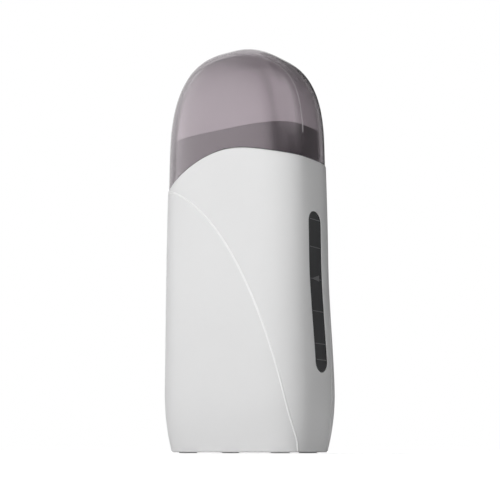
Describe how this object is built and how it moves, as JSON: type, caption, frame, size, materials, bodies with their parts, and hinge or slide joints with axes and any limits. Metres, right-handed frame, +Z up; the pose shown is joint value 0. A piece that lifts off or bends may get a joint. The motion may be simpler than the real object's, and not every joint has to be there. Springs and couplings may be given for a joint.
{
  "type": "roll-on wax heater",
  "caption": "Upright heater that warms a roll-on wax cartridge, with a lift-off translucent cap, a side window and a rocker switch at the back.",
  "frame": {"origin": "bottom centre of the bounding box, on the surface the feet stand on", "axes": "+Z up along the height, front faces -Y, the level window is on +X"},
  "size_m": [0.085, 0.0566, 0.205],
  "materials": {
    "shell_white": "satin moulded ABS, very light grey white",
    "cap_tinted": "milky translucent mauve, glossy",
    "collar_dark": "charcoal, fine satin",
    "lens_smoked": "smoked clear plastic, polished",
    "holder_dark": "heat-resistant nylon, matt charcoal",
    "plate_aluminium": "brushed sheet",
    "spring_steel": "rolled strip",
    "screw_steel": "zinc plated",
    "contact_brass": "stamped sheet",
    "ceramic": "sintered ceramic with silvered faces",
    "film_amber": "polyimide film",
    "fuse_body": "epoxy-sealed ceramic",
    "sleeve_glass": "braided glass sleeve",
    "socket_black": "black nylon",
    "rocker_black": "polished black nylon",
    "pin_nickel": "nickel plated brass",
    "pilot_red": "red clear plastic, ribbed",
    "lamp_glass": "neon lamp bulb",
    "resistor_tan": "lacquered, colour bands",
    "wire_brown": "silicone insulation",
    "wire_red": "silicone insulation",
    "wire_blue": "silicone insulation",
    "lead_tinned": "tinned copper",
    "foot_rubber": "moulded rubber"
  },
  "bodies": {
    "housing": {"front_shell": "shell_white", "rear_shell": "shell_white", "window_lens": "lens_smoked", "collar": "collar_dark", "cartridge_holder": "holder_dark", "cartridge_spring": "spring_steel", "heating_plate": "plate_aluminium", "ptc_pills": "ceramic", "electrode_front": "contact_brass", "electrode_rear": "contact_brass", "insulation_wrap": "film_amber", "ptc_clamp": "spring_steel", "clamp_screws": "screw_steel", "thermal_fuse": "fuse_body", "fuse_sleeve": "sleeve_glass", "inlet_socket": "socket_black", "inlet_pins": "pin_nickel", "switch_housing": "socket_black", "switch_pivot": "screw_steel", "switch_terminals": "contact_brass", "pilot_lens": "pilot_red", "pilot_lamp": "lamp_glass", "lamp_resistor": "resistor_tan", "wire_live": "wire_brown", "wire_switched": "wire_brown", "wire_fused": "wire_red", "wire_neutral": "wire_blue", "lamp_leads": "lead_tinned", "case_screws": "screw_steel", "rubber_feet": "foot_rubber"},
    "cap": {"cap": "cap_tinted"},
    "rocker": {"switch_rocker": "rocker_black", "rocker_contact": "contact_brass"}
  },
  "joints": [
    {"name": "cap_lift", "type": "slide", "parent": "housing", "child": "cap", "axis": [0, 0, 1], "range_m": [0, 0.08]},
    {"name": "rocker_tilt", "type": "hinge", "parent": "housing", "child": "rocker", "pos_m": [0.014, 0.02235, 0.016], "axis": [-1, 0, 0], "range_deg": [0, 20]}
  ]
}
